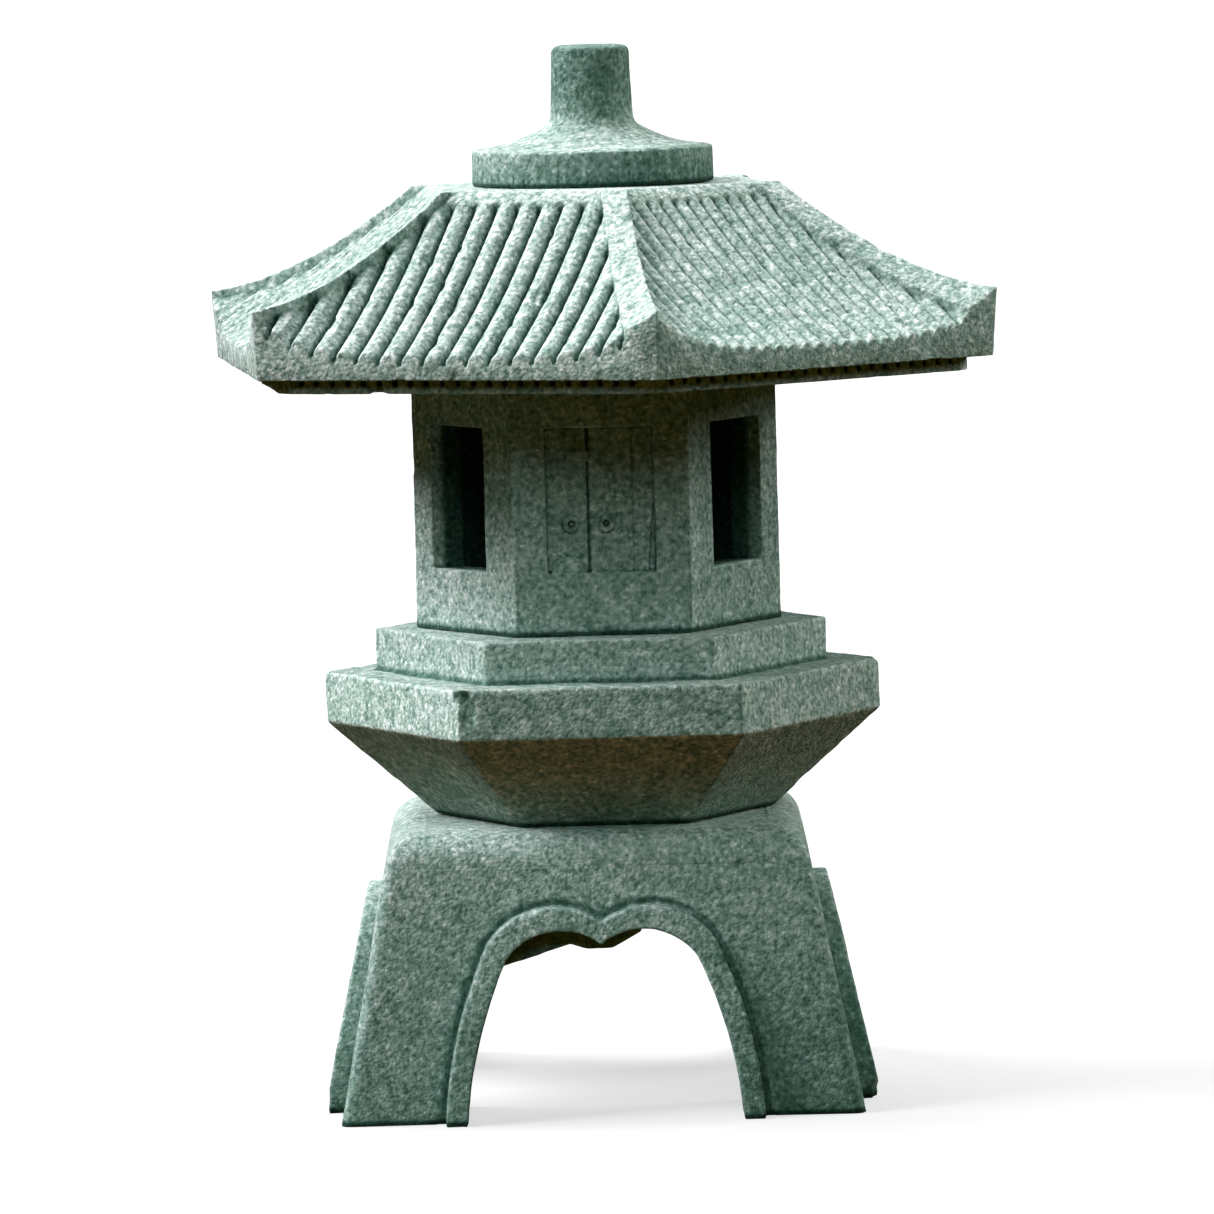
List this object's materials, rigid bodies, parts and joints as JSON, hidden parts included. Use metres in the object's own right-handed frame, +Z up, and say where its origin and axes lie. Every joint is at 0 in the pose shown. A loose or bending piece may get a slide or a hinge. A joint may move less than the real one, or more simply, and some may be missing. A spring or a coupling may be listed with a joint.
{
  "type": "stone lantern",
  "caption": "Small stack-built stone lantern: four-legged arched stand, stepped hexagonal platform, hollow light chamber, ribbed upswept roof and a knob finial.",
  "frame": {"origin": "on the ground, on the axis of the dowels, which is the middle of the bounding box's base to within 0.25 mm; the middle of the four feet is 0.45 mm to the left of it", "axes": "+Z up the stack's axis, -Y the front of the stand, +X to the right of someone facing the front"},
  "size_m": [0.0353, 0.0378, 0.047],
  "materials": {
    "stone": "sand-grained grey-green stone, matt",
    "dowel": "plain drawn stainless pin"
  },
  "bodies": {
    "finial": {"finial": "stone"},
    "roof": {"roof": "stone"},
    "firebox": {"firebox": "stone"},
    "platform": {"platform": "stone"},
    "leg_stand": {"leg_stand": "stone"},
    "finial_pin": {"finial_pin": "dowel"},
    "firebox_pin": {"firebox_pin": "dowel"},
    "platform_pin": {"platform_pin": "dowel"}
  },
  "joints": [
    {"name": "platform_lift", "type": "slide", "parent": "leg_stand", "child": "platform_pin", "axis": [0, 0, 1], "range_m": [0, 0.006]},
    {"name": "platform_turn", "type": "hinge", "parent": "platform_pin", "child": "platform", "pos_m": [0, 0, 0.0125], "axis": [0, 0, 1], "continuous": true},
    {"name": "firebox_lift", "type": "slide", "parent": "platform", "child": "firebox_pin", "axis": [0, 0, 1], "range_m": [0, 0.006]},
    {"name": "firebox_turn", "type": "hinge", "parent": "firebox_pin", "child": "firebox", "pos_m": [0, 0, 0.021], "axis": [0, 0, 1], "continuous": true},
    {"name": "roof_lift", "type": "slide", "parent": "firebox", "child": "finial_pin", "axis": [0, 0, 1], "range_m": [0, 0.012]},
    {"name": "roof_turn", "type": "hinge", "parent": "finial_pin", "child": "roof", "pos_m": [0, 0, 0.0408], "axis": [0, 0, 1], "continuous": true},
    {"name": "finial_lift", "type": "slide", "parent": "finial_pin", "child": "finial", "axis": [0, 0, 1], "range_m": [0, 0.007]}
  ]
}
